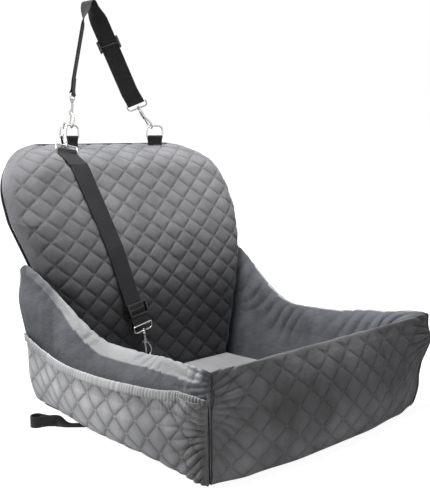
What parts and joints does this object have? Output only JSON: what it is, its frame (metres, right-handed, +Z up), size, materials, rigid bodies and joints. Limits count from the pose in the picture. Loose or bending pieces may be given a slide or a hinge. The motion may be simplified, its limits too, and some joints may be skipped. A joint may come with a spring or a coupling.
{
  "type": "dog car seat",
  "caption": "Padded car seat for a small dog: a box bed with a raised backrest, side pockets, a headrest strap loop and an adjustable tether with snap hooks.",
  "frame": {"origin": "centre of the base's flat underside, where the bed rests on the car's seat cushion", "axes": "+X to the right as seen from the front, -Y out over the low front wall, +Y towards the car's backrest, +Z up"},
  "size_m": [0.6123, 0.6697, 0.7768],
  "materials": {
    "light_velvet": "matte",
    "dark_velvet": "matte",
    "black_fabric": "matte",
    "board": "matte",
    "webbing": "matte",
    "metal": "polished",
    "plastic": "satin"
  },
  "bodies": {
    "seat": {"base_board": "board", "base_sheet": "black_fabric", "floor_cushion": "light_velvet", "front_bolster": "dark_velvet", "side_bolster_left": "dark_velvet", "side_bolster_right": "dark_velvet", "pocket_left": "light_velvet", "pocket_right": "light_velvet", "pocket_hem_left": "dark_velvet", "pocket_hem_right": "dark_velvet", "back_board": "board", "back_cushion": "light_velvet", "back_piping": "black_fabric", "back_rear_cover": "black_fabric", "ring_tab_left": "webbing", "ring_tab_right": "webbing", "anchor_strap": "webbing"},
    "ring_left": {"d_ring_left": "metal"},
    "ring_right": {"d_ring_right": "metal"},
    "headrest_loop": {"headrest_strap": "webbing", "strap_eye_left": "metal", "strap_eye_right": "metal"},
    "strap_snap_left": {"strap_hook_left": "metal", "strap_spring_left": "metal"},
    "strap_snap_right": {"strap_hook_right": "metal", "strap_spring_right": "metal"},
    "strap_gate_left": {"strap_gate_left": "metal"},
    "strap_gate_right": {"strap_gate_right": "metal"},
    "strap_adjuster": {"strap_slider": "plastic"},
    "tether": {"tether_webbing": "webbing", "tether_eye_upper": "metal", "tether_eye_lower": "metal"},
    "tether_snap_upper": {"tether_hook_upper": "metal", "tether_spring_upper": "metal"},
    "tether_snap_lower": {"tether_hook_lower": "metal", "tether_spring_lower": "metal"},
    "tether_gate_upper": {"tether_gate_upper": "metal"},
    "tether_gate_lower": {"tether_gate_lower": "metal"},
    "tether_adjuster": {"tether_slider": "plastic"}
  },
  "joints": [
    {"name": "d_ring_left_swing", "type": "hinge", "parent": "seat", "child": "ring_left", "pos_m": [-0.11, 0.30813, 0.505], "axis": [-1, 0, 0], "range_deg": [0, 50]},
    {"name": "d_ring_right_swing", "type": "hinge", "parent": "seat", "child": "ring_right", "pos_m": [0.11, 0.30813, 0.505], "axis": [-1, 0, 0], "range_deg": [0, 53]},
    {"name": "headrest_strap_swing", "type": "hinge", "parent": "ring_left", "child": "headrest_loop", "pos_m": [0, 0.30813, 0.529], "axis": [-1, 0, 0], "range_deg": [-25, 40]},
    {"name": "tether_swing", "type": "hinge", "parent": "ring_left", "child": "tether", "pos_m": [0, 0.30813, 0.529], "axis": [-1, 0, 0], "range_deg": [0, 70]},
    {"name": "strap_snap_left_swivel", "type": "hinge", "parent": "headrest_loop", "child": "strap_snap_left", "pos_m": [-0.09942, 0.3125, 0.57523], "axis": [0.1201, -0.02, 0.9926], "range_deg": [-10, 10]},
    {"name": "strap_snap_right_swivel", "type": "hinge", "parent": "headrest_loop", "child": "strap_snap_right", "pos_m": [0.0698, 0.31119, 0.56461], "axis": [-0.6099, -0.05, 0.7909], "range_deg": [-10, 10]},
    {"name": "tether_snap_upper_swivel", "type": "hinge", "parent": "tether", "child": "tether_snap_upper", "pos_m": [-0.13462, 0.28362, 0.49195], "axis": [-0.2852, -0.6205, -0.7305], "range_deg": [-10, 10]},
    {"name": "tether_snap_lower_swivel", "type": "hinge", "parent": "tether", "child": "tether_snap_lower", "pos_m": [-0.07734, 0.11687, 0.1345], "axis": [-0.1664, -0.0368, 0.9854], "continuous": true},
    {"name": "strap_gate_left_slide", "type": "slide", "parent": "strap_snap_left", "child": "strap_gate_left", "axis": [0.1201, -0.02, 0.9926], "range_m": [0, 0.0055], "stiffness_N_per_m": 180, "springref_m": -0.004, "deforming": ["strap_spring_left"]},
    {"name": "strap_gate_right_slide", "type": "slide", "parent": "strap_snap_right", "child": "strap_gate_right", "axis": [-0.6099, -0.05, 0.7909], "range_m": [0, 0.0055], "stiffness_N_per_m": 180, "springref_m": -0.004, "deforming": ["strap_spring_right"]},
    {"name": "tether_gate_upper_slide", "type": "slide", "parent": "tether_snap_upper", "child": "tether_gate_upper", "axis": [-0.2852, -0.6205, -0.7305], "range_m": [0, 0.0055], "stiffness_N_per_m": 180, "springref_m": -0.004, "deforming": ["tether_spring_upper"]},
    {"name": "tether_gate_lower_slide", "type": "slide", "parent": "tether_snap_lower", "child": "tether_gate_lower", "axis": [-0.1664, -0.0368, 0.9854], "range_m": [0, 0.0055], "stiffness_N_per_m": 180, "springref_m": -0.004, "deforming": ["tether_spring_lower"]},
    {"name": "strap_adjuster_slide", "type": "slide", "parent": "headrest_loop", "child": "strap_adjuster", "axis": [-0.4896, -0.0264, 0.8715], "range_m": [-0.03, 0.02]},
    {"name": "tether_adjuster_slide", "type": "slide", "parent": "tether", "child": "tether_adjuster", "axis": [-0.174, 0.2567, 0.9507], "range_m": [-0.003, 0.02]}
  ],
  "couplings": [
    {"joint": "d_ring_right_swing", "follows": "d_ring_left_swing", "ratio": 1}
  ]
}
